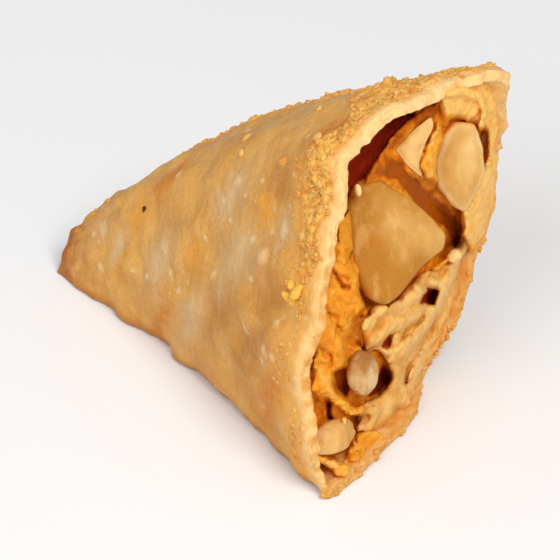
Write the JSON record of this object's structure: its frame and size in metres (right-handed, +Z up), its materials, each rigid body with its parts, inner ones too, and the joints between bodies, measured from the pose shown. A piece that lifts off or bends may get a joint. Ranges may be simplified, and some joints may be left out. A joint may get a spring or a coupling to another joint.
{
  "type": "samosa",
  "caption": "Torn half of a fried triangular samosa, standing on a flat side, with potato filling showing in its open mouth.",
  "frame": {"origin": "middle of the footprint, on the flat side that it stands on", "axes": "+X from the folded tip towards the torn mouth, +Y towards the rear side, +Z up"},
  "size_m": [0.0671, 0.0494, 0.0525],
  "materials": {
    "fried_pastry": "fried pastry: golden tan, mottled and blistered, with browned edges and a dull oily sheen",
    "mashed_potato": "spiced mashed potato: moist, lumpy, orange-yellow",
    "cooked_potato": "boiled potato: smooth cut faces, pale yellow stained with spice",
    "cooked_onion": "softened onion: translucent grey-beige and wet"
  },
  "bodies": {
    "root": {"crust": "fried_pastry", "filling": "mashed_potato", "potato_middle": "cooked_potato", "potato_upper": "cooked_potato", "potato_side": "cooked_potato", "potato_lower": "cooked_potato", "onion_piece": "cooked_onion"}
  },
  "joints": []
}
